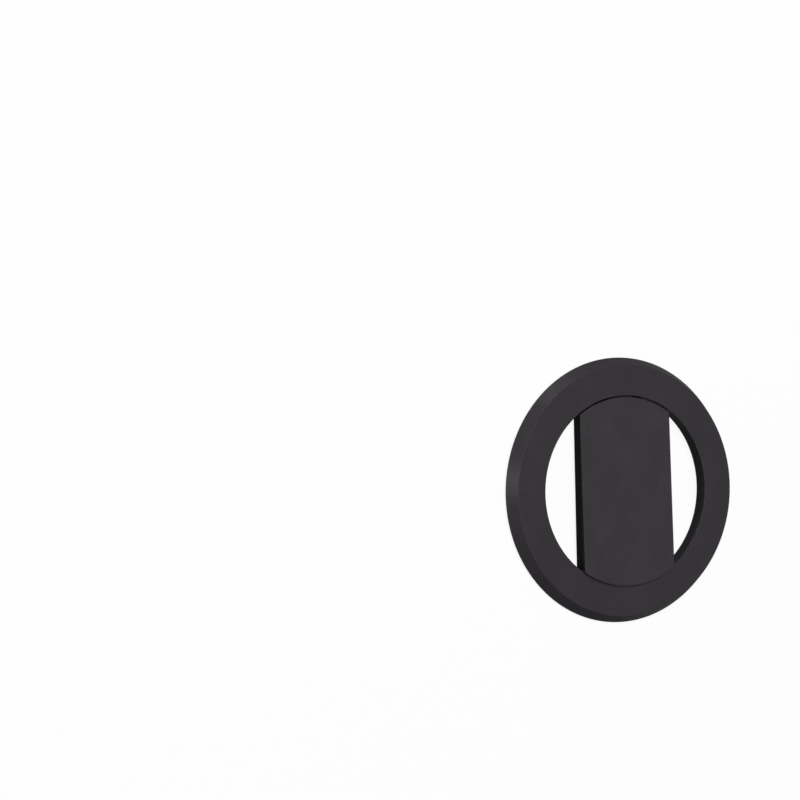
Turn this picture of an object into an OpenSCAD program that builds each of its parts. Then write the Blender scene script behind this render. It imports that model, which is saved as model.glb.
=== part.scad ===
// Magnetic phone stand: a flat ring of magnets with a fold-out leg across its hole.
// The ring clings to the back of a phone. The leg swings out at the top on a hinge
// that is hidden inside the ring, and the proud lip at its free end takes a fingertip.
// Origin: centre of the ring, on the back of the grip pad. +Z leaves the front face,
// +Y points to the hinge end of the leg.

/* [Ring] */
// Outside diameter at the back edge
ring_d = 60; // [52:0.5:76]
// Radial width of the ring at the back edge
band_w = 8.6; // [8:0.1:12]
// Thickness from the grip pad to the front face
ring_t = 3.5; // [3.3:0.05:5]
// Lean of the sloping rim from upright
rim_angle = 29; // [15:1:38]
// Thickness of the front wall over the magnets
face_wall = 0.8; // [0.6:0.05:1.2]
// Thickness of the wall round the hole
hole_wall = 1.6; // [1.2:0.1:2.2]
// Thickness of the outer wall at the front face
rim_wall = 1.2; // [0.8:0.1:2]
// Radius on the ring's edges
edge_round = 0.2; // [0.1:0.05:0.35]

/* [Back of the ring] */
// Thickness of the soft grip pad
pad_t = 0.3; // [0.2:0.05:0.6]
// Thickness of the adhesive film under the pad
film_t = 0.1; // [0.05:0.01:0.15]
// Thickness of the back plate
plate_t = 0.4; // [0.3:0.05:0.6]
// Width of the rim that the back plate sits inside, round the hole
plate_rim = 0.5; // [0.4:0.05:0.8]
// Width of the ledge that carries the back plate, round the channel
plate_ledge = 1.6; // [0.8:0.1:2]
// Thickness of the back plate's tongue, which closes the hinge bay under the arm
tongue_t = 0.2; // [0.15:0.05:0.25]
// Width of the tongue's lip in the gap between the leg and the hole
tongue_w = 13; // [10:0.5:16]
// How far the lip reaches under the curved end of the leg
tongue_reach = 0.2; // [0.1:0.05:0.4]
// Distance of the grip pad's edges from the flat back of the ring
pad_inset = 0.15; // [0.1:0.05:0.3]
// Gap round the back plate, the magnets and other pieces that drop in
drop_in_gap = 0.05; // [0.03:0.01:0.15]

/* [Magnets] */
// Number of magnets in the broken ring
magnet_count = 14; // [8:1:20]
// Gap between one magnet and the next
magnet_gap = 0.35; // [0.1:0.05:1]
// Glue gap between the magnets and the walls of their channel
magnet_glue = 0.2; // [0.1:0.05:0.4]
// Thickness of the steel yoke behind the magnets
yoke_t = 0.4; // [0.2:0.05:0.6]
// Half of the angle that is left free of magnets for the hinge
hinge_bay_angle = 24; // [22:1:34]

/* [Leg] */
// Width of the leg
leg_w = 24; // [18:0.5:30]
// Gap between the curved ends of the leg and the hole
leg_gap = 0.35; // [0.25:0.05:0.6]
// How far the free end stands proud of the front face
leg_proud = 1; // [0.4:0.1:1.6]
// Height of the back of the leg above the phone
leg_lift = 0.75; // [0.5:0.05:1]
// Thickness of the leg's front skin
leg_skin = 0.8; // [0.6:0.05:1.2]
// Thickness of the leg's side walls
leg_wall = 1.4; // [1.2:0.1:2]
// Thickness of the curved wall at the free end
tip_wall = 2.2; // [1.8:0.1:3]
// Break on the leg's front edges
edge_break = 0.2; // [0.05:0.05:0.3]
// How far the proud lip covers the rounded edge of the hole
lip_cover = 0.15; // [0:0.05:0.2]
// Width of the rim round the leg's back cover
leg_rim = 0.8; // [0.6:0.05:1]
// Thickness of the leg's back cover and of the hinge arm's plate
leg_back_t = 0.5; // [0.4:0.05:0.6]
// Distance of the screws from the sides of the back cover
cover_screw_in = 2.6; // [2.4:0.1:3]
// Thickness of the ribs inside the leg
rib_t = 0.7; // [0.5:0.05:1]
// Distance from one cross rib to the next
rib_pitch = 5.5; // [4:0.5:8]

/* [Hinge] */
// Diameter of the hinge pin
pin_d = 0.8; // [0.6:0.05:0.9]
// Running clearance round the pin
pin_clear = 0.02; // [0.01:0.01:0.05]
// Radius of the arm's barrel round the pin
barrel_r = 0.7; // [0.6:0.05:0.8]
// Length of the barrel
barrel_w = 8; // [6:0.5:9]
// Distance from the leg's curved end to the hinge axis
hinge_reach = 1.9; // [1.8:0.05:2.2]
// Skin of the front face left over the barrel
hinge_skin = 0.3; // [0.25:0.05:0.5]
// Thickness of each cheek of the hinge frame
cheek_t = 1.2; // [0.8:0.1:1.4]
// Thickness of the neck that joins the barrel to its plate
neck_t = 0.7; // [0.5:0.05:0.9]
// Width of the neck, which passes under the edge of the hole
neck_w = 6; // [4:0.5:7]
// Gap on each side of the barrel in its window
arm_side_gap = 0.3; // [0.2:0.05:0.5]
// Gap round the arm where it lies in the leg
arm_gap = 0.1; // [0.05:0.05:0.2]
// Free height of one disc spring
spring_h = 0.3; // [0.2:0.05:0.4]
// Play left beside each disc spring
spring_play = 0.05; // [0.04:0.01:0.1]
// Gap between the barrel and the skin over it
barrel_clear = 0.05; // [0.04:0.01:0.1]
// Room for the swing on each side of the axis
swing_room = 1; // [0.9:0.05:1.2]
// Depth of the hinge bay behind the axis
bay_depth = 2.05; // [1.8:0.05:2.3]
// Gap between the pin's heads and the sides of the bay
bay_gap = 0.25; // [0.2:0.05:0.4]
// Gap between the hinge frame and the outer side of the bay
frame_gap = 0.3; // [0.2:0.05:0.5]
// How far each cheek reaches past the barrel, towards the hole
cheek_front = 0.1; // [0.05:0.05:0.15]
// Gap between the barrel and the bridge of the frame
bridge_gap = 0.35; // [0.25:0.05:0.4]
// Distance from each cheek to the screw in its foot
foot_screw_out = 1.9; // [1.8:0.1:2.2]
// Distance from the axis back to those screws
foot_screw_back = 0.75; // [0.6:0.05:0.9]
// Length of each foot past its screw
foot_end = 1.5; // [1.3:0.1:1.8]
// Length of each foot in front of the axis
foot_front = 0.25; // [0.15:0.05:0.3]
// Metal left under the countersinks of the feet
foot_floor = 0.1; // [0.05:0.05:0.15]
// Thickness of the pin's heads
pin_head_t = 0.35; // [0.3:0.05:0.4]
// Overhang of the pin's heads
pin_head_rim = 0.22; // [0.15:0.01:0.25]
// Length of the arm's plate inside the leg
arm_plate_l = 11; // [8:0.5:14]
// Width of the arm's plate inside the leg
arm_plate_w = 15; // [11:0.5:16]
// Distance from the arm's plate to the curved rim of the leg's back
arm_plate_in = 1.6; // [1.2:0.1:2]
// Distance of the screws from the sides of the arm's plate
arm_screw_in = 2.1; // [1.8:0.1:2.6]

/* [Small parts] */
// Diameter of the countersunk screws
screw_d = 1.2; // [1:0.1:1.4]
// Diameter of the screw heads
screw_head_d = 2; // [1.7:0.1:2.2]
// Length of the screws under the head
screw_l = 1; // [0.8:0.1:1.2]
// Wall round a screw hole
screw_boss = 0.75; // [0.6:0.05:0.9]
// Width of the slots in the screw heads
slot_w = 0.26; // [0.2:0.02:0.3]
// Depth of those slots
slot_depth = 0.22; // [0.15:0.01:0.25]
// Width of the tab that the closed leg rests on
tab_w = 8; // [5:0.5:10]
// Reach of the tab into the hole
tab_reach = 1.3; // [0.8:0.1:1.6]
// Thickness of the tab
tab_t = 0.6; // [0.5:0.05:0.8]
// Gap round the tab in the leg
tab_gap = 0.3; // [0.2:0.05:0.4]
// Thickness of the steel latch plate
latch_t = 0.8; // [0.6:0.1:1]
// Width of the latch plate
latch_w = 12; // [8:0.5:14]
// Length of the latch plate along the leg
latch_l = 2.9; // [2:0.1:3.5]
// Distance of the latch plate from the wall at the free end
latch_in_gap = 0.1; // [0.1:0.05:0.3]
// Width of the rubber foot in the free end
foot_w = 13; // [8:0.5:16]
// Height of the rubber foot
foot_h = 1.3; // [1:0.1:1.6]
// Depth of the rubber foot's groove
foot_depth = 0.7; // [0.5:0.05:0.9]
// How far the foot stands out of its groove
foot_proud = 0.15; // [0:0.05:0.2]
// Wall between the foot's groove and the back cover
foot_wall = 0.35; // [0.3:0.05:0.6]

/* [Hidden] */
$fn = 180;
// Overrun of a cutting shape past the face that it opens
cut = 1;
// Overlap where the shapes of one piece join
lap = 0.1;
// Larger than anything in the model
big = 200;

// Levels, from the phone side up
film_z = pad_t;
cover_z = film_z + film_t;
plate_top = cover_z + plate_t;
channel_top = ring_t - face_wall;
yoke_z = channel_top - yoke_t;
leg_z = leg_lift;
leg_back_top = leg_z + leg_back_t;

// Radii of the ring
ring_r = ring_d / 2;
rim_h = ring_t - cover_z;
toe = edge_round * (1 + sin(rim_angle)) / cos(rim_angle);
rim_sharp_r = ring_r + toe - edge_round;
face_r = rim_sharp_r - rim_h * tan(rim_angle);
brow = edge_round * tan((90 - rim_angle) / 2);
hole_r = ring_r - band_w;
channel_in = hole_r + hole_wall;
channel_out = face_r - rim_wall;
rebate_in = hole_r + plate_rim;
rebate_out = channel_out + plate_ledge;
pad_in = hole_r + pad_inset;
pad_out = rim_sharp_r - toe - pad_inset;

// Magnets
magnet_in = channel_in + magnet_glue;
magnet_out = channel_out - magnet_glue;
magnet_pitch = (360 - 2 * hinge_bay_angle) / magnet_count;
magnet_gap_angle = magnet_gap / magnet_in * 180 / PI;
magnet_start = 90 + hinge_bay_angle;

// Leg
leg_r = hole_r - leg_gap;
lip_r = hole_r + lip_cover;
leg_tilt = atan(leg_proud / (leg_r + lip_r));
leg_back_r = leg_r - leg_rim;
leg_back_w = leg_w - 2 * leg_rim;
screw_boss_r = screw_d / 2 + screw_boss;
screw_hole_r = screw_d / 2;
// Screws are drawn this much slimmer than their holes
screw_slack = 0.02;
screw_r = screw_hole_r - screw_slack;
// Room in front of a screw's tip
screw_tip_room = 0.1;
head_h = (screw_head_d - screw_d) / 2;

// Hinge
axis_y = leg_r + hinge_reach;
axis_z = ring_t - hinge_skin - barrel_clear - barrel_r;
bay_top = ring_t - hinge_skin;
pin_r = pin_d / 2;
window_w = barrel_w + 2 * arm_side_gap;
cheek_gap = spring_h + spring_play;
cheek_in = barrel_w / 2 + cheek_gap;
cheek_out = cheek_in + cheek_t;
pin_head_r = pin_r + pin_head_rim;
pin_end = cheek_out + drop_in_gap + pin_head_t;
bay_half_w = pin_end + bay_gap;
bay_in = axis_y - swing_room;
bay_deep_out = axis_y + swing_room;
bay_out = axis_y + bay_depth;
frame_z = plate_top + drop_in_gap;
frame_in = axis_y - barrel_r - cheek_front;
frame_out = bay_out - frame_gap;
bridge_in = axis_y + barrel_r + bridge_gap;
flange_t = head_h + foot_floor;
frame_screw_x = cheek_out + foot_screw_out;
frame_screw_y = axis_y + foot_screw_back;
flange_out = frame_screw_x + foot_end;
arm_plate_top_y = leg_back_r - arm_plate_in;
arm_plate_end_y = arm_plate_top_y - arm_plate_l;

// Screws of the leg, in rows at these shares of the arm plate's length and of the leg's radius
arm_screw_rows = [0.28, 0.76];
cover_screw_rows = [0.1, 0.66];
arm_screws = [for (side = [-1, 1], row = arm_screw_rows)
    [side * (arm_plate_w / 2 - arm_screw_in), arm_plate_top_y - row * arm_plate_l]];
cover_screws = [for (side = [-1, 1], row = cover_screw_rows)
    [side * (leg_back_w / 2 - cover_screw_in), -row * leg_r]];

// Closing stop, latch and foot at the free end
tab_top = cover_z + tab_t;
latch_out = leg_r - tip_wall - latch_in_gap;
latch_in = latch_out - latch_l;
foot_z = leg_back_top + foot_wall;

function magnet_name(i) = str("magnet_", i < 9 ? "0" : "", i + 1);

black = "#262529";
dark = "#1c1b1f";
steel = "#9a9ca0";

// A flat ring between two radii, from z_low to z_high
module band(r_in, r_out, z_low, z_high, from_angle = 0, angle = 360) {
    rotate([0, 0, from_angle])
        rotate_extrude(angle = angle)
            translate([r_in, z_low])
                square([r_out - r_in, z_high - z_low]);
}

// A box that is centred on x = 0
module block(w, y_low, y_high, z_low, z_high) {
    translate([-w / 2, y_low, z_low])
        cube([w, y_high - y_low, z_high - z_low]);
}

// Extrudes an outline drawn in (y, z) across the width w
module across(w) {
    rotate([90, 0, 90])
        linear_extrude(height = w, center = true)
            children();
}

// Places a shape on both sides of the middle plane
module both_sides() {
    children();
    mirror([1, 0, 0]) children();
}

// Section of the ring's outside: sloping rim, flat face and straight hole, all edges rounded
module ring_outline() {
    e = edge_round;
    wall = e * [cos(rim_angle), sin(rim_angle)];
    toe_at = [rim_sharp_r - toe, cover_z + e];
    brow_at = [face_r - brow, ring_t - e];
    polygon([
        [hole_r, cover_z + e], [hole_r + e, cover_z], [toe_at.x, cover_z], toe_at + wall,
        brow_at + wall, [brow_at.x, ring_t], [hole_r + e, ring_t], [hole_r, ring_t - e]
    ]);
    for (corner = [toe_at, brow_at, [hole_r + e, cover_z + e], [hole_r + e, ring_t - e]])
        translate(corner) circle(r = e);
}

// Space in the ring for the hinge: a deep bay, and a window in the wall of the hole
module hinge_bay() {
    block(2 * bay_half_w, bay_in, bay_out, cover_z - cut, channel_top);
    block(2 * bay_half_w, bay_in, bay_deep_out, cover_z - cut, bay_top);
    block(window_w, leg_r - cut, bay_deep_out, cover_z - cut, bay_top);
}

module ring_cover() {
    color(black) {
        difference() {
            rotate_extrude() ring_outline();
            band(rebate_in, rebate_out, cover_z - cut, plate_top);
            difference() {
                band(channel_in, channel_out, cover_z, channel_top);
                both_sides()
                    translate([frame_screw_x, frame_screw_y, frame_z + flange_t])
                        cylinder(r = screw_boss_r, h = ring_t);
            }
            difference() {
                hinge_bay();
                both_sides()
                    translate([frame_screw_x, frame_screw_y, frame_z + flange_t])
                        cylinder(r = screw_boss_r, h = ring_t);
            }
            both_sides()
                translate([frame_screw_x, frame_screw_y, 0])
                    cylinder(r = screw_hole_r, h = frame_z + head_h + screw_l + screw_tip_room);
        }
        // Tab that the free end of the leg closes on
        intersection() {
            block(tab_w, -ring_r, -hole_r + tab_reach, cover_z, tab_top);
            cylinder(r = hole_r + edge_round, h = ring_t);
        }
    }
}

// Closing plate. Under the arm it is thinned to a tongue, whose lip meets the wall of the hole
// and hides the gap at the hinge
module back_plate() {
    color(dark)
        difference() {
            union() {
                band(rebate_in + drop_in_gap, rebate_out - drop_in_gap, cover_z, plate_top);
                intersection() {
                    band(leg_r - tongue_reach, rebate_in + cut, cover_z, plate_top);
                    block(window_w - 2 * drop_in_gap, 0, ring_r, 0, ring_t);
                }
                intersection() {
                    band(leg_r - tongue_reach, hole_r, cover_z, cover_z + tongue_t);
                    block(tongue_w, 0, ring_r, 0, ring_t);
                }
            }
            block(window_w, 0, bay_deep_out, cover_z + tongue_t, ring_t);
        }
}

module pad_film() {
    color(dark) band(pad_in, pad_out, film_z, cover_z);
}

module grip_pad() {
    color("#2b2b2f") band(pad_in, pad_out, 0, film_z);
}

module yoke() {
    color(steel)
        band(magnet_in, magnet_out, yoke_z, channel_top,
             magnet_start, 360 - 2 * hinge_bay_angle - magnet_gap_angle);
}

module magnet(i) {
    color("#b4b6ba")
        band(magnet_in, magnet_out, plate_top, yoke_z,
             magnet_start + i * magnet_pitch, magnet_pitch - magnet_gap_angle);
}

// A countersunk screw whose head is flush with z = 0 and whose tip points up
module micro_screw() {
    slot_l = 0.6 * screw_head_d;
    difference() {
        union() {
            cylinder(r1 = screw_head_d / 2 - screw_slack, r2 = screw_r, h = head_h);
            cylinder(r = screw_r, h = head_h + screw_l);
        }
        for (turn = [0, 90])
            rotate([0, 0, turn])
                translate([-slot_l / 2, -slot_w / 2, -cut])
                    cube([slot_l, slot_w, cut + slot_depth]);
    }
}

// The countersunk hole for that screw
module screw_seat() {
    cylinder(r1 = screw_head_d / 2, r2 = screw_hole_r, h = head_h);
    translate([0, 0, -cut]) cylinder(r = screw_hole_r, h = screw_l + head_h + 2 * cut);
    translate([0, 0, -cut]) cylinder(r = screw_head_d / 2, h = cut);
}

// Steel frame in the bay: two cheeks with the pin's bores, a bridge and two screwed feet
module hinge_frame() {
    color(steel)
        difference() {
            union() {
                both_sides() {
                    translate([(cheek_in + cheek_out) / 2, 0, 0])
                        across(cheek_t) {
                            translate([frame_in, frame_z])
                                square([frame_out - frame_in, axis_z - frame_z]);
                            translate([axis_y, axis_z]) circle(r = barrel_r);
                        }
                    translate([cheek_out - lap, axis_y - foot_front, frame_z])
                        cube([flange_out - cheek_out + lap, frame_out - axis_y + foot_front, flange_t]);
                }
                block(2 * (cheek_in + lap), bridge_in, frame_out, frame_z, axis_z);
            }
            translate([0, axis_y, axis_z])
                rotate([0, 90, 0])
                    cylinder(r = pin_r + pin_clear / 2, h = big, center = true);
            both_sides()
                translate([frame_screw_x, frame_screw_y, frame_z]) screw_seat();
        }
}

module frame_screws() {
    color(steel)
        both_sides()
            translate([frame_screw_x, frame_screw_y, frame_z]) micro_screw();
}

// Pin with a turned head at one end and a peened head at the other
module hinge_pin() {
    color("silver")
        translate([0, axis_y, axis_z])
            rotate([0, 90, 0]) {
                cylinder(r = pin_r, h = 2 * pin_end, center = true);
                translate([0, 0, pin_end - pin_head_t])
                    cylinder(r1 = pin_head_r, r2 = (pin_head_r + 2 * pin_r) / 3, h = pin_head_t);
                translate([0, 0, -pin_end])
                    cylinder(r = pin_head_r, h = pin_head_t);
            }
}

// A dished washer on the pin, which gives the hinge its friction
module disc_spring(side) {
    sheet = spring_h / 2;
    bore_r = pin_r + pin_clear;
    edge_r = barrel_r - spring_play;
    color("silver")
        mirror([side < 0 ? 1 : 0, 0, 0])
            translate([barrel_w / 2 + spring_play / 2, axis_y, axis_z])
                rotate([0, 90, 0])
                    rotate_extrude()
                        polygon([[bore_r, 0], [edge_r, sheet], [edge_r, 2 * sheet], [bore_r, sheet]]);
}

// Cranked arm: a barrel on the pin, a neck that reaches down under the front wall,
// and a plate that passes through the window and is screwed under the leg
module hinge_arm() {
    arm_bottom = leg_z;
    arm_top = leg_back_top;
    color(black)
        difference() {
            union() {
                across(barrel_w)
                    translate([axis_y, axis_z]) circle(r = barrel_r);
                across(neck_w) {
                    translate([axis_y - neck_t / 2, arm_bottom])
                        square([neck_t, axis_z - arm_bottom]);
                    translate([arm_plate_top_y - lap, arm_bottom])
                        square([axis_y + neck_t / 2 - arm_plate_top_y + lap, arm_top - arm_bottom]);
                }
                block(arm_plate_w, arm_plate_end_y, arm_plate_top_y, arm_bottom, arm_top);
            }
            translate([0, axis_y, axis_z])
                rotate([0, 90, 0])
                    cylinder(r = pin_r + pin_clear, h = big, center = true);
            for (p = arm_screws)
                translate([p[0], p[1], leg_z]) screw_seat();
        }
}

// Plan of the leg: straight sides and ends that follow the hole
module leg_plan(r, w) {
    intersection() {
        circle(r = r);
        square([w, 2 * r], center = true);
    }
}

// Everything under the sloping front of the leg, lowered by drop
module below_front(drop = 0) {
    translate([0, leg_r, ring_t - drop])
        rotate([-leg_tilt, 0, 0])
            translate([-big / 2, -big, -big])
                cube([big, 1.5 * big, big]);
}

// Breaks the edge where a curved end of radius r meets the front at height z
module end_break(r, z, turn) {
    e = edge_break;
    rotate([0, 0, turn])
        rotate_extrude(angle = 180)
            polygon([[r - e - cut, z + cut], [r, z - e], [r + cut, z - e], [r + cut, z + cut]]);
}

// Breaks the long edges of the sloping front
module side_break() {
    both_sides()
        translate([leg_w / 2, leg_r, ring_t])
            rotate([-leg_tilt, 0, 0])
                rotate([0, 45, 0])
                    cube([edge_break * sqrt(2), big, edge_break * sqrt(2)], center = true);
}

// Outside of the leg with the proud lip at the free end
module leg_outside() {
    difference() {
        intersection() {
            union() {
                translate([0, 0, leg_z])
                    linear_extrude(height = ring_t + leg_proud)
                        leg_plan(leg_r, leg_w);
                translate([0, 0, ring_t])
                    linear_extrude(height = leg_proud + cut)
                        intersection() {
                            leg_plan(lip_r, leg_w);
                            translate([-leg_w / 2, -lip_r]) square([leg_w, lip_r]);
                        }
            }
            below_front();
        }
        end_break(leg_r, ring_t, 0);
        end_break(lip_r, ring_t + leg_proud, 180);
        side_break();
    }
}

// Plan of the hollow inside the leg, with its ribs and screw bosses left standing
module leg_hollow_plan() {
    difference() {
        leg_plan(leg_r - tip_wall, leg_w - 2 * leg_wall);
        for (x = [-1, 1])
            translate([x * leg_w / 6 - rib_t / 2, -leg_r])
                square([rib_t, 2 * leg_r]);
        for (i = [-2 : 3])
            translate([-leg_w / 2, i * rib_pitch - rib_t / 2])
                square([leg_w, rib_t]);
        for (p = concat(arm_screws, cover_screws))
            translate(p) circle(r = screw_boss_r);
    }
}

// Pocket in the back of the leg for the back cover and the arm's plate
module leg_back_pocket(gap = 0) {
    linear_extrude(height = leg_back_t)
        leg_plan(leg_back_r - gap, leg_back_w - 2 * gap);
}

// Curved bar for the rubber foot, from r_in to r_out
module foot_bar(r_in, r_out, w, z_low, z_high) {
    intersection() {
        band(r_in, r_out, z_low, z_high, 180, 180);
        block(w, -big / 2, 0, z_low - cut, z_high + cut);
    }
}

module latch_shape(gap = 0) {
    intersection() {
        cylinder(r = latch_out + gap, h = leg_back_top + latch_t + gap);
        block(latch_w + 2 * gap, -big / 2, -latch_in + gap, leg_back_top, leg_back_top + latch_t + gap);
    }
}

module leg_cover() {
    color(black)
        difference() {
            leg_outside();
            translate([0, 0, leg_z]) leg_back_pocket();
            // The arm's neck leaves through the curved end
            block(neck_w + 2 * arm_gap, arm_plate_top_y, ring_r, leg_z - cut, leg_back_top);
            // Hollow between ribs, up to the front skin
            intersection() {
                translate([0, 0, leg_back_top - lap])
                    linear_extrude(height = ring_t + leg_proud) leg_hollow_plan();
                below_front(leg_skin);
            }
            for (p = concat(arm_screws, cover_screws))
                translate([p[0], p[1], leg_z])
                    cylinder(r = screw_hole_r, h = head_h + screw_l + screw_tip_room);
            latch_shape(drop_in_gap);
            foot_bar(leg_r - foot_depth, leg_r + cut, foot_w, foot_z, foot_z + foot_h);
            // Room for the tab that the leg closes on
            block(tab_w + 2 * tab_gap, -ring_r, -hole_r + tab_reach + tab_gap, leg_z - cut, tab_top);
        }
}

// Back cover of the leg, cut away round the arm's plate and over the tab
module leg_back() {
    color(dark)
        difference() {
            translate([0, 0, leg_z]) leg_back_pocket(drop_in_gap);
            block(arm_plate_w + 2 * arm_gap, arm_plate_end_y - arm_gap, ring_r, 0, ring_t);
            block(tab_w + 2 * tab_gap, -ring_r, -hole_r + tab_reach + tab_gap, 0, ring_t);
            for (p = cover_screws)
                translate([p[0], p[1], leg_z]) screw_seat();
        }
}

module leg_screws() {
    color(steel)
        for (p = concat(arm_screws, cover_screws))
            translate([p[0], p[1], leg_z]) micro_screw();
}

module latch_plate() {
    color(steel) latch_shape();
}

module leg_foot() {
    color("#2e2e32")
        foot_bar(leg_r - foot_depth + drop_in_gap, leg_r + foot_proud, foot_w - 2 * drop_in_gap,
                 foot_z + drop_in_gap, foot_z + foot_h - drop_in_gap);
}

ring_cover();
back_plate();
pad_film();
grip_pad();
yoke();
for (i = [0 : magnet_count - 1])
    magnet(i);
hinge_frame();
frame_screws();
hinge_pin();
disc_spring(-1);  // disc_spring_left
disc_spring(1);  // disc_spring_right
hinge_arm();
leg_cover();
leg_back();
leg_screws();
latch_plate();
leg_foot();
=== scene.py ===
import math

import bpy
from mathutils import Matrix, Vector

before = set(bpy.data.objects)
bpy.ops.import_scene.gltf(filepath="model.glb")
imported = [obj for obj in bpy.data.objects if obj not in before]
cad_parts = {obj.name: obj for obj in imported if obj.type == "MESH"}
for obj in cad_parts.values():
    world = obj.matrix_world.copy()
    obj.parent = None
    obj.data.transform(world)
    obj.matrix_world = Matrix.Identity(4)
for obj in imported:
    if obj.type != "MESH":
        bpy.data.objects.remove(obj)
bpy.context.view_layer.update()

# Photo view
# The stand lies on its grip pad. The camera looks down on it from the left, and it holds the
# 800 x 800 frame of the photo with a long lens and no shift.
camera_place = (-0.296092, 0.028339, 0.453576)
camera_degrees = (-0.047, -27.9458, -1.4567)
lens_mm = 107.01
sensor_mm = 36.0
nearest_seen = 0.01
farthest_seen = 20.0

camera_data = bpy.data.cameras.new("photo_camera")
camera_data.lens = lens_mm
camera_data.sensor_width = sensor_mm
camera_data.clip_start = nearest_seen
camera_data.clip_end = farthest_seen
camera = bpy.data.objects.new("photo_camera", camera_data)
camera.location = camera_place
camera.rotation_euler = [math.radians(angle) for angle in camera_degrees]
bpy.context.scene.collection.objects.link(camera)
bpy.context.scene.camera = camera
bpy.context.scene.view_settings.view_transform = "Standard"


# Ring cover
# One moulding of black polycarbonate with a soft-touch coat. Its sloping rim, flat face and
# hole wall all have the same satin finish, which comes from a fine even grain in the mould.
ring_dark = (0.0245, 0.0218, 0.0254)
ring_light = (0.0395, 0.0357, 0.0408)
coat_rough = 0.36
coat_gloss = 0.07
coat_grain_depth = 0.000012
coarse_to_fine = 0.31
skin_to_mark = 30.0


def new_group(name, inputs, outputs):
    """An empty shader group with its sockets, and its two end nodes."""
    group = bpy.data.node_groups.new(name, "ShaderNodeTree")
    group.interface.new_socket(name="Vector", in_out="INPUT", socket_type="NodeSocketVector")
    for socket, value in inputs.items():
        made = group.interface.new_socket(name=socket, in_out="INPUT", socket_type="NodeSocketFloat")
        made.default_value = value
    for socket in outputs:
        group.interface.new_socket(name=socket, in_out="OUTPUT", socket_type="NodeSocketFloat")
    return group, group.nodes.new("NodeGroupInput").outputs, group.nodes.new("NodeGroupOutput").inputs


def set_input(tree, socket, value):
    """Gives a socket a number, or links it to another socket."""
    if isinstance(value, (int, float)):
        socket.default_value = value
    else:
        tree.links.new(value, socket)


def noise(tree, vector, scale, detail=2.0, rough=0.5):
    """A noise texture on the given coordinates. Its scale is a number or a socket."""
    node = tree.nodes.new("ShaderNodeTexNoise")
    node.inputs["Detail"].default_value = detail
    node.inputs["Roughness"].default_value = rough
    tree.links.new(vector, node.inputs["Vector"])
    set_input(tree, node.inputs["Scale"], scale)
    return node.outputs["Fac"]


def maths(tree, operation, *values):
    """One Math node. Each of its inputs is a number or a socket."""
    node = tree.nodes.new("ShaderNodeMath")
    node.operation = operation
    for socket, value in zip(node.inputs, values):
        set_input(tree, socket, value)
    return node.outputs[0]


def raise_by(tree, base, mask, amount):
    """The base, changed by the amount where the mask is one."""
    return maths(tree, "ADD", base, maths(tree, "MULTIPLY", mask, amount))


def mix_masks(tree, first, second, share):
    """Two masks in one. The share says how much the first one counts."""
    return maths(tree, "ADD", maths(tree, "MULTIPLY", first, share),
                 maths(tree, "MULTIPLY", second, 1.0 - share))


def ramp(tree, value, low, high, out_low=0.0, out_high=1.0):
    """Maps low..high smoothly to out_low..out_high."""
    node = tree.nodes.new("ShaderNodeMapRange")
    node.interpolation_type = "SMOOTHSTEP"
    node.inputs["From Min"].default_value = low
    node.inputs["From Max"].default_value = high
    node.inputs["To Min"].default_value = out_low
    node.inputs["To Max"].default_value = out_high
    tree.links.new(value, node.inputs["Value"])
    return node.outputs["Result"]


# A Mix node keeps its colour sockets at these places.
mix_factor = 0
mix_first = 6
mix_second = 7
mix_result = 2


def blend_colour(tree, mask, low, high):
    """Goes from one colour to the other by a mask. Each is a colour or a socket."""
    node = tree.nodes.new("ShaderNodeMix")
    node.data_type = "RGBA"
    tree.links.new(mask, node.inputs[mix_factor])
    for index, colour in ((mix_first, low), (mix_second, high)):
        if isinstance(colour, tuple):
            node.inputs[index].default_value = (*colour, 1.0)
        else:
            tree.links.new(colour, node.inputs[index])
    return node.outputs[mix_result]


def stretch(tree, vector, scale, turn=0.0):
    """Coordinates turned about Z by degrees, then scaled along each axis."""
    node = tree.nodes.new("ShaderNodeMapping")
    node.inputs["Rotation"].default_value = (0.0, 0.0, math.radians(turn))
    node.inputs["Scale"].default_value = scale
    tree.links.new(vector, node.inputs["Vector"])
    return node.outputs["Vector"]


def mould_grain_group():
    """Fine spark-eroded grain of a moulding: a height for bump, a tone and cloudy patches."""
    group, given, result = new_group("mould_grain", {"Grain Scale": 11000.0, "Patch Scale": 160.0},
                                     ("Height", "Tone", "Patches"))
    coarse_scale = maths(group, "MULTIPLY", given["Grain Scale"], coarse_to_fine)
    fine = noise(group, given["Vector"], given["Grain Scale"], detail=3.0, rough=0.6)
    coarse = noise(group, given["Vector"], coarse_scale)
    height = mix_masks(group, fine, coarse, share=0.6)
    patches = noise(group, given["Vector"], given["Patch Scale"], detail=4.0, rough=0.55)
    group.links.new(height, result["Height"])
    group.links.new(ramp(group, height, low=0.3, high=0.7), result["Tone"])
    group.links.new(ramp(group, patches, low=0.35, high=0.7), result["Patches"])
    return group


def finger_marks_group():
    """Faint smears where fingers polish a soft coat: a mask that is mostly nought."""
    group, given, result = new_group("finger_marks", {"Mark Scale": 55.0}, ("Marks",))
    drawn = stretch(group, given["Vector"], scale=(1.0, 2.6, 1.0), turn=35.0)
    skin_scale = maths(group, "MULTIPLY", given["Mark Scale"], skin_to_mark)
    smear = noise(group, drawn, given["Mark Scale"], detail=5.0, rough=0.6)
    marks = ramp(group, smear, low=0.5, high=0.72)
    skin = ramp(group, noise(group, drawn, skin_scale), low=0.35, high=0.6, out_low=0.55)
    group.links.new(maths(group, "MULTIPLY", marks, skin), result["Marks"])
    return group


mould_grain = mould_grain_group()
finger_marks = finger_marks_group()


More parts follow.
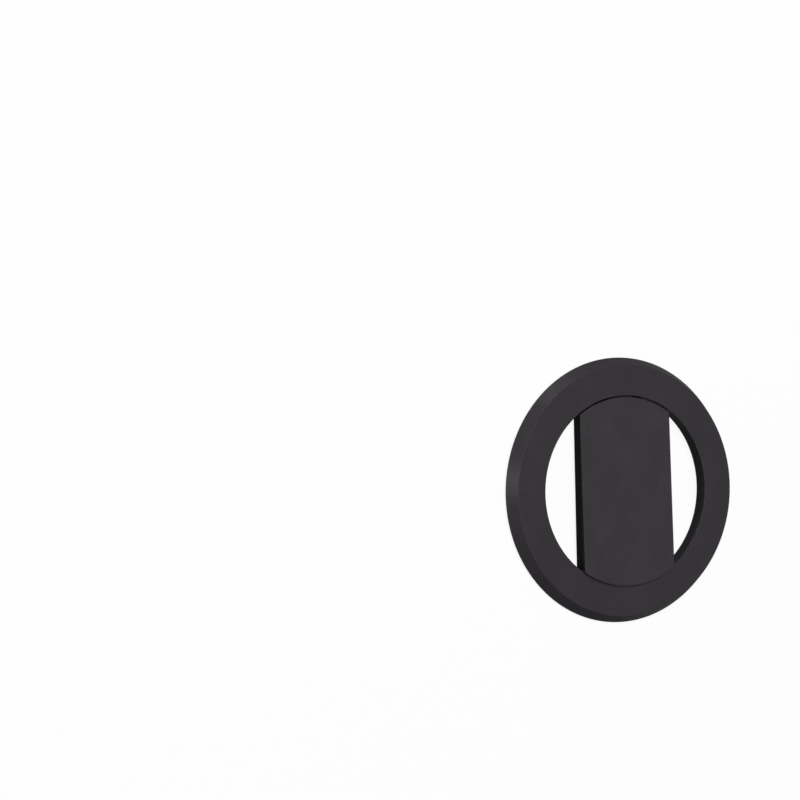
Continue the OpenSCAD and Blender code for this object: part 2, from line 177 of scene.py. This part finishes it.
def new_material(name):
    """A material with its Principled shader and the coordinates of the part's frame, in metres."""
    material = bpy.data.materials.new(name)
    material.use_nodes = True
    tree = material.node_tree
    place = tree.nodes.new("ShaderNodeTexCoord").outputs["Object"]
    return material, tree, tree.nodes["Principled BSDF"], place


def use_group(tree, group, place, **values):
    """Puts a group in a material, with its own values."""
    node = tree.nodes.new("ShaderNodeGroup")
    node.node_tree = group
    tree.links.new(place, node.inputs["Vector"])
    for socket, value in values.items():
        node.inputs[socket.replace("_", " ")].default_value = value
    return node.outputs


def link_finish(tree, shader, colour, rough, height, depth, strength=1.0):
    """Links colour, roughness and a bump of a real depth in metres to the shader."""
    bump = tree.nodes.new("ShaderNodeBump")
    bump.inputs["Strength"].default_value = strength
    bump.inputs["Distance"].default_value = depth
    tree.links.new(height, bump.inputs["Height"])
    tree.links.new(bump.outputs["Normal"], shader.inputs["Normal"])
    tree.links.new(colour, shader.inputs["Base Color"])
    tree.links.new(rough, shader.inputs["Roughness"])


def soft_touch_black(name, dark, light, patch_scale):
    """Satin black coat: fine grain, cloudy gloss and faint finger marks."""
    material, tree, shader, place = new_material(name)
    grain = use_group(tree, mould_grain, place, Patch_Scale=patch_scale)
    marks = use_group(tree, finger_marks, place)["Marks"]
    tone = mix_masks(tree, grain["Tone"], grain["Patches"], share=0.78)
    colour = blend_colour(tree, tone, dark, light)
    cloudy = raise_by(tree, coat_rough, grain["Patches"], amount=0.03)
    polished = raise_by(tree, cloudy, marks, amount=-0.06)
    shader.inputs["Specular IOR Level"].default_value = coat_gloss
    link_finish(tree, shader, colour, polished, grain["Height"], coat_grain_depth, strength=0.8)
    return material


def finish_node(name, material):
    """Gives a CAD node its material."""
    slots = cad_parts[name].data.materials
    slots.clear()
    slots.append(material)


ring_black = soft_touch_black("ring soft-touch black", ring_dark, ring_light, patch_scale=150.0)
finish_node("ring_cover", ring_black)


# Magnets
# Sintered arcs with a bright nickel plate over a slightly pitted core, so the plating looks
# like orange peel. They sit in the ring's channel with the yoke behind them.
nickel_dull = (0.55, 0.54, 0.52)
nickel_bright = (0.67, 0.66, 0.63)
nickel_rough = 0.16
nickel_peel_depth = 0.000006


def nickel_plate(name):
    """Bright nickel with a faint orange peel."""
    material, tree, shader, place = new_material(name)
    peel = use_group(tree, mould_grain, place, Grain_Scale=2400.0, Patch_Scale=300.0)
    colour = blend_colour(tree, peel["Patches"], nickel_dull, nickel_bright)
    rough = raise_by(tree, nickel_rough, peel["Patches"], amount=0.14)
    shader.inputs["Metallic"].default_value = 1.0
    link_finish(tree, shader, colour, rough, peel["Height"], nickel_peel_depth, strength=0.7)
    return material


nickel = nickel_plate("nickel plated magnet")
for name in sorted(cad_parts):
    if name.startswith("magnet_"):
        finish_node(name, nickel)


# Yoke, hinge frame and latch plate
# All are stamped from stainless strip. The rolling leaves long fine lines in the sheet, and
# tumbling after the press leaves small scratches in every direction.
strip_dull = (0.40, 0.405, 0.41)
strip_bright = (0.58, 0.585, 0.59)
strip_rough = 0.30
strip_line_depth = 0.000004
scratch_to_line = 0.4


def rolled_lines_group():
    """Lines of rolled strip along Y, with tumbling scratches across them."""
    group, given, result = new_group("rolled_lines", {"Line Scale": 5200.0}, ("Lines", "Scratches"))
    along = stretch(group, given["Vector"], scale=(1.0, 0.02, 0.6))
    across = stretch(group, given["Vector"], scale=(1.0, 0.05, 1.0), turn=57.0)
    scratch_scale = maths(group, "MULTIPLY", given["Line Scale"], scratch_to_line)
    scratches = noise(group, across, scratch_scale, detail=1.0)
    group.links.new(noise(group, along, given["Line Scale"], detail=3.0, rough=0.65), result["Lines"])
    group.links.new(ramp(group, scratches, low=0.62, high=0.72), result["Scratches"])
    return group


rolled_lines = rolled_lines_group()


def bright_steel(name, dull, bright, rough, depth):
    """Bare stainless steel: rolled lines in colour, roughness and height."""
    material, tree, shader, place = new_material(name)
    rolled = use_group(tree, rolled_lines, place)
    clouds = use_group(tree, mould_grain, place, Patch_Scale=260.0)["Patches"]
    colour = blend_colour(tree, mix_masks(tree, rolled["Lines"], clouds, share=0.6), dull, bright)
    lined = raise_by(tree, rough, rolled["Lines"], amount=0.16)
    scratched = raise_by(tree, lined, rolled["Scratches"], amount=0.12)
    height = raise_by(tree, rolled["Lines"], rolled["Scratches"], amount=-0.6)
    shader.inputs["Metallic"].default_value = 1.0
    link_finish(tree, shader, colour, scratched, height, depth, strength=0.6)
    return material


stamped_steel = bright_steel("stamped stainless strip", strip_dull, strip_bright,
                             strip_rough, strip_line_depth)
for name in ("yoke", "hinge_frame", "latch_plate"):
    finish_node(name, stamped_steel)


# Hinge arm
# The cranked arm is stamped from the same strip and blackened in a hot salt bath, so that it
# doesn't shine through the gap above the leg. The oxide is thinner on the scratches.
oxide_dark = (0.020, 0.019, 0.021)
oxide_light = (0.034, 0.032, 0.034)
oxide_worn = (0.14, 0.135, 0.13)
oxide_wear = 0.35
oxide_rough = 0.42
oxide_gloss = 0.3
oxide_line_depth = 0.000003


def blackened_steel(name):
    """Black oxide over rolled strip, worn thin on the scratches."""
    material, tree, shader, place = new_material(name)
    rolled = use_group(tree, rolled_lines, place)
    clouds = use_group(tree, mould_grain, place, Patch_Scale=420.0)["Patches"]
    bath = blend_colour(tree, clouds, oxide_dark, oxide_light)
    colour = blend_colour(tree, maths(tree, "MULTIPLY", rolled["Scratches"], oxide_wear), bath, oxide_worn)
    rough = raise_by(tree, oxide_rough, rolled["Lines"], amount=0.16)
    shader.inputs["Specular IOR Level"].default_value = oxide_gloss
    link_finish(tree, shader, colour, rough, rolled["Lines"], oxide_line_depth, strength=0.6)
    return material


finish_node("hinge_arm", blackened_steel("blackened strip steel"))


# Pin, disc springs and screws
# Turned or formed from stainless wire. The screws are countersunk cross-slot screws, flush
# with the sheet that they hold. Turning leaves fine bright and dull zones.
turned_dull = (0.50, 0.505, 0.51)
turned_bright = (0.68, 0.685, 0.69)
turned_rough = 0.24
turned_line_depth = 0.000003

turned_steel = bright_steel("turned stainless", turned_dull, turned_bright,
                            turned_rough, turned_line_depth)
for name in ("hinge_pin", "disc_spring_left", "disc_spring_right", "frame_screws", "leg_screws"):
    finish_node(name, turned_steel)


# Back plate
# A thin black sheet, cut to a ring and pressed into the rebate behind the magnets. Its faces
# keep the plain matte of the calendered sheet.
sheet_dark = (0.012, 0.012, 0.013)
sheet_light = (0.018, 0.018, 0.020)
sheet_rough = 0.58
sheet_grain_depth = 0.00001


def plain_black(name, dark, light, rough):
    """Uncoated black plastic with the coarse even grain of its tool."""
    material, tree, shader, place = new_material(name)
    grain = use_group(tree, mould_grain, place, Grain_Scale=3800.0, Patch_Scale=90.0)
    colour = blend_colour(tree, grain["Patches"], dark, light)
    grained = raise_by(tree, rough, grain["Tone"], amount=0.08)
    link_finish(tree, shader, colour, grained, grain["Height"], sheet_grain_depth, strength=0.7)
    return material


finish_node("back_plate", plain_black("calendered black sheet", sheet_dark, sheet_light, sheet_rough))


# Grip pad and its film
# A die-cut ring of black silicone, stuck on with a double-sided film of black adhesive. The
# silicone is dull, has a fine stipple and picks up a little dust.
pad_dark = (0.017, 0.017, 0.019)
pad_light = (0.025, 0.025, 0.028)
pad_rough = 0.66
stipple_depth = 0.000012
dust_grey = (0.16, 0.155, 0.145)
dust_cover = 0.5
crowd_to_speck = 0.09
film_dark = (0.014, 0.014, 0.015)
film_light = (0.022, 0.022, 0.024)
film_rough = 0.34
film_grain_depth = 0.000008


def dust_specks_group():
    """Fine dust that lies on rubber: a mask of small specks, gathered in places."""
    group, given, result = new_group("dust_specks", {"Speck Scale": 1500.0}, ("Specks",))
    cells = group.nodes.new("ShaderNodeTexVoronoi")
    group.links.new(given["Vector"], cells.inputs["Vector"])
    group.links.new(given["Speck Scale"], cells.inputs["Scale"])
    dots = ramp(group, cells.outputs["Distance"], low=0.05, high=0.16, out_low=1.0, out_high=0.0)
    crowd_scale = maths(group, "MULTIPLY", given["Speck Scale"], crowd_to_speck)
    crowds = ramp(group, noise(group, given["Vector"], crowd_scale), low=0.5, high=0.66)
    group.links.new(maths(group, "MULTIPLY", dots, crowds), result["Specks"])
    return group


dust_specks = dust_specks_group()


def silicone(name, dark, light, rough):
    """Matte black silicone with fine stipple and a few dust specks."""
    material, tree, shader, place = new_material(name)
    grain = use_group(tree, mould_grain, place, Grain_Scale=5200.0, Patch_Scale=220.0)
    specks = use_group(tree, dust_specks, place)["Specks"]
    body = blend_colour(tree, grain["Patches"], dark, light)
    dusty = blend_colour(tree, maths(tree, "MULTIPLY", specks, dust_cover), body, dust_grey)
    stippled = raise_by(tree, rough, grain["Tone"], amount=0.06)
    link_finish(tree, shader, dusty, stippled, grain["Height"], stipple_depth, strength=0.8)
    return material


def adhesive_film(name):
    """Black adhesive film with a faint fibrous unevenness."""
    material, tree, shader, place = new_material(name)
    fibres = use_group(tree, mould_grain, place, Grain_Scale=2600.0, Patch_Scale=400.0)
    colour = blend_colour(tree, fibres["Patches"], film_dark, film_light)
    rough = raise_by(tree, film_rough, fibres["Tone"], amount=0.2)
    link_finish(tree, shader, colour, rough, fibres["Height"], film_grain_depth)
    return material


finish_node("grip_pad", silicone("grip silicone", pad_dark, pad_light, pad_rough))
finish_node("pad_film", adhesive_film("black adhesive film"))


# Leg
# The leg is a second moulding with the same coat. Its upright walls get a painted shade: a darker
# colour that stands in for the little light falling on them. An uncoated cover closes its back.
leg_dark = (0.0273, 0.0244, 0.0283)
leg_light = (0.0437, 0.0397, 0.0454)
# painted shade: the darker colour given to the leg's upright walls
upright_wall_shade = (0.0100, 0.0085, 0.0100)
cover_dark = (0.026, 0.025, 0.027)
cover_light = (0.036, 0.035, 0.038)
cover_rough = 0.50


def paint_upright_shade(material, colour):
    """Paints shade on the walls that stand upright on their piece: a darker colour, chosen by the normal.
    """
    tree = material.node_tree
    base = tree.nodes["Principled BSDF"].inputs["Base Color"]
    coated = base.links[0].from_socket
    faces = tree.nodes.new("ShaderNodeTexCoord").outputs["Normal"]
    parts = tree.nodes.new("ShaderNodeSeparateXYZ")
    tree.links.new(faces, parts.inputs["Vector"])
    lean = maths(tree, "ABSOLUTE", parts.outputs["Z"])
    # painted shade: this mask is one on upright walls and nought on flat faces
    upright = ramp(tree, lean, low=0.1, high=0.4, out_low=1.0, out_high=0.0)
    tree.links.new(blend_colour(tree, upright, coated, colour), base)


leg_black = soft_touch_black("leg soft-touch black", leg_dark, leg_light, patch_scale=190.0)
# painted shade on the leg's upright walls
paint_upright_shade(leg_black, upright_wall_shade)
finish_node("leg_cover", leg_black)
finish_node("leg_back", plain_black("moulded black back cover", cover_dark, cover_light, cover_rough))


# Foot of the leg
# A small bar of black silicone in a groove of the free end, which stops the open leg from
# sliding on a table. It is pressed in and stands a little proud.
foot_dark = (0.014, 0.014, 0.0155)
foot_light = (0.021, 0.021, 0.0235)
foot_rough = 0.6

finish_node("leg_foot", silicone("foot silicone", foot_dark, foot_light, foot_rough))


# Floor
# A seamless white floor, just below the grip pad. To the camera it is white and takes the
# stand's shadow. To the stand it gives back little light, so its upright walls stay dark.
floor_reach = 6.0
floor_drop = 0.00002
white_paper = (0.94, 0.94, 0.94)
dull_paper = (0.10, 0.10, 0.10)
pure_white = (1.0, 1.0, 1.0, 1.0)
paper_glow = 0.86
glow_in_gloss = 0.16

floor_mesh = bpy.data.meshes.new("floor")
corners = [(x * floor_reach, y * floor_reach, 0.0) for x, y in ((-1, -1), (1, -1), (1, 1), (-1, 1))]
floor_mesh.from_pydata(corners, [], [(0, 1, 2, 3)])
floor = bpy.data.objects.new("floor", floor_mesh)
floor.location.z = -floor_drop
bpy.context.scene.collection.objects.link(floor)


def seen_rays(tree, share):
    """The camera-ray mask, and the same with a share for glossy and transmission rays."""
    path = tree.nodes.new("ShaderNodeLightPath")
    camera_ray = path.outputs["Is Camera Ray"]
    mirrored = maths(tree, "MAXIMUM", path.outputs["Is Glossy Ray"], path.outputs["Is Transmission Ray"])
    return camera_ray, maths(tree, "MAXIMUM", camera_ray, maths(tree, "MULTIPLY", mirrored, share))


def floor_paper(name):
    """Paper that glows white where the camera sees it, and still takes a shadow."""
    material = bpy.data.materials.new(name)
    material.use_nodes = True
    tree = material.node_tree
    tree.nodes.clear()
    output = tree.nodes.new("ShaderNodeOutputMaterial")
    diffuse = tree.nodes.new("ShaderNodeBsdfDiffuse")
    glow = tree.nodes.new("ShaderNodeEmission")
    mix = tree.nodes.new("ShaderNodeMixShader")
    camera_ray, seen = seen_rays(tree, glow_in_gloss)
    glow.inputs["Color"].default_value = pure_white
    tree.links.new(blend_colour(tree, camera_ray, dull_paper, white_paper), diffuse.inputs["Color"])
    tree.links.new(maths(tree, "MULTIPLY", seen, paper_glow), mix.inputs["Fac"])
    tree.links.new(diffuse.outputs["BSDF"], mix.inputs[1])
    tree.links.new(glow.outputs["Emission"], mix.inputs[2])
    tree.links.new(mix.outputs["Shader"], output.inputs["Surface"])
    return material


floor_mesh.materials.append(floor_paper("white floor"))


# Light
# One large soft box hangs over the stand, as for a product photo. Two low strips, one at the
# left and one beyond the hinge end, graze the sloping rim. The surroundings are white.
sky_light = 0.10
sky_in_gloss = 1.0
box_place = (-0.15, 0.28, 1.10)
box_size = (1.0, 1.0)
box_power = 14.1
strip_places = {"left strip": (-0.89, 0.11, 0.035), "upper left strip": (-0.25, 0.87, 0.035)}
strip_size = (0.20, 0.04)
strip_power = 2.7
pad_middle = (0.0, 0.0, 0.0)
rim_middle = (0.0, 0.0, 0.002)

world = bpy.data.worlds.new("studio")
world.use_nodes = True
bpy.context.scene.world = world
sky = world.node_tree
background = sky.nodes["Background"]
background.inputs["Color"].default_value = pure_white
sky_seen = seen_rays(sky, sky_in_gloss)[1]
sky.links.new(raise_by(sky, sky_light, sky_seen, amount=1.0 - sky_light), background.inputs["Strength"])


def soft_box(name, place, aim, size, power):
    """A rectangular area lamp that points at aim. Its size is in metres and its power in watts."""
    data = bpy.data.lights.new(name, "AREA")
    data.shape = "RECTANGLE"
    data.size, data.size_y = size
    data.energy = power
    lamp = bpy.data.objects.new(name, data)
    lamp.location = place
    lamp.rotation_euler = (Vector(aim) - Vector(place)).to_track_quat("-Z", "Y").to_euler()
    bpy.context.scene.collection.objects.link(lamp)


soft_box("overhead", box_place, pad_middle, box_size, box_power)
for name, place in strip_places.items():
    soft_box(name, place, rim_middle, strip_size, strip_power)
